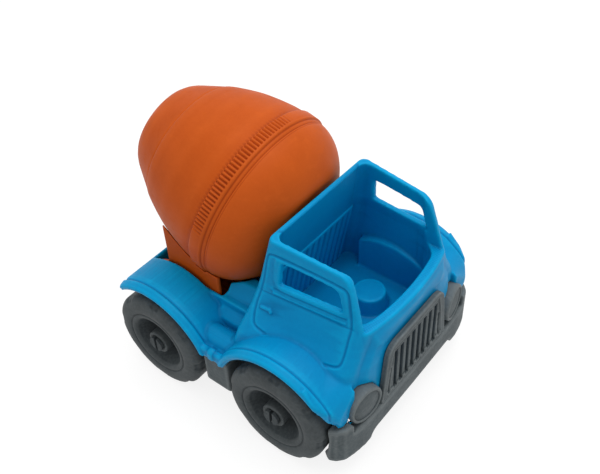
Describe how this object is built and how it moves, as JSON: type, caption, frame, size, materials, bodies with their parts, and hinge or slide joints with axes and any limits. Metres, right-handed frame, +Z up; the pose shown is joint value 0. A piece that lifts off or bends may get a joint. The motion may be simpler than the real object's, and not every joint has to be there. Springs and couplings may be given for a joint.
{
  "type": "toy concrete mixer truck",
  "caption": "Chunky moulded toy mixer truck: open-topped cab, press-fit wheels, and a spinning drum in a cradle that tips up at the rear.",
  "frame": {"origin": "middle of the footprint of the outer box, on the surface that the wheels stand on", "axes": "+X forward, +Y to the truck's left, +Z up"},
  "size_m": [0.2078, 0.1704, 0.1846],
  "materials": {
    "blue_plastic": "satin moulded plastic, fine grain",
    "grey_plastic": "dull moulded plastic, fine grain",
    "orange_plastic": "satin moulded plastic, fine grain"
  },
  "bodies": {
    "truck": {"body": "blue_plastic", "chassis": "grey_plastic", "grille": "grey_plastic", "headlight_left": "grey_plastic", "headlight_right": "grey_plastic", "rear_axle": "grey_plastic", "front_axle": "grey_plastic"},
    "wheel_rear_left": {"wheel_rear_left": "grey_plastic"},
    "wheel_rear_right": {"wheel_rear_right": "grey_plastic"},
    "wheel_front_left": {"wheel_front_left": "grey_plastic"},
    "wheel_front_right": {"wheel_front_right": "grey_plastic"},
    "cradle": {"drum_cradle": "orange_plastic"},
    "drum": {"drum": "orange_plastic"}
  },
  "joints": [
    {"name": "wheel_rear_left_spin", "type": "hinge", "parent": "truck", "child": "wheel_rear_left", "pos_m": [-0.04661, 0, 0.0364], "axis": [0, 1, 0], "continuous": true},
    {"name": "wheel_rear_right_spin", "type": "hinge", "parent": "truck", "child": "wheel_rear_right", "pos_m": [-0.04661, 0, 0.0364], "axis": [0, 1, 0], "continuous": true},
    {"name": "wheel_front_left_spin", "type": "hinge", "parent": "truck", "child": "wheel_front_left", "pos_m": [0.05339, 0, 0.0364], "axis": [0, 1, 0], "continuous": true},
    {"name": "wheel_front_right_spin", "type": "hinge", "parent": "truck", "child": "wheel_front_right", "pos_m": [0.05339, 0, 0.0364], "axis": [0, 1, 0], "continuous": true},
    {"name": "cradle_tip", "type": "hinge", "parent": "truck", "child": "cradle", "pos_m": [-0.06461, 0, 0.07], "axis": [0, -1, 0], "range_deg": [0, 45]},
    {"name": "drum_spin", "type": "hinge", "parent": "cradle", "child": "drum", "pos_m": [-0.01521, 0, 0.1215], "axis": [-0.9553, 0, 0.2957], "continuous": true}
  ]
}
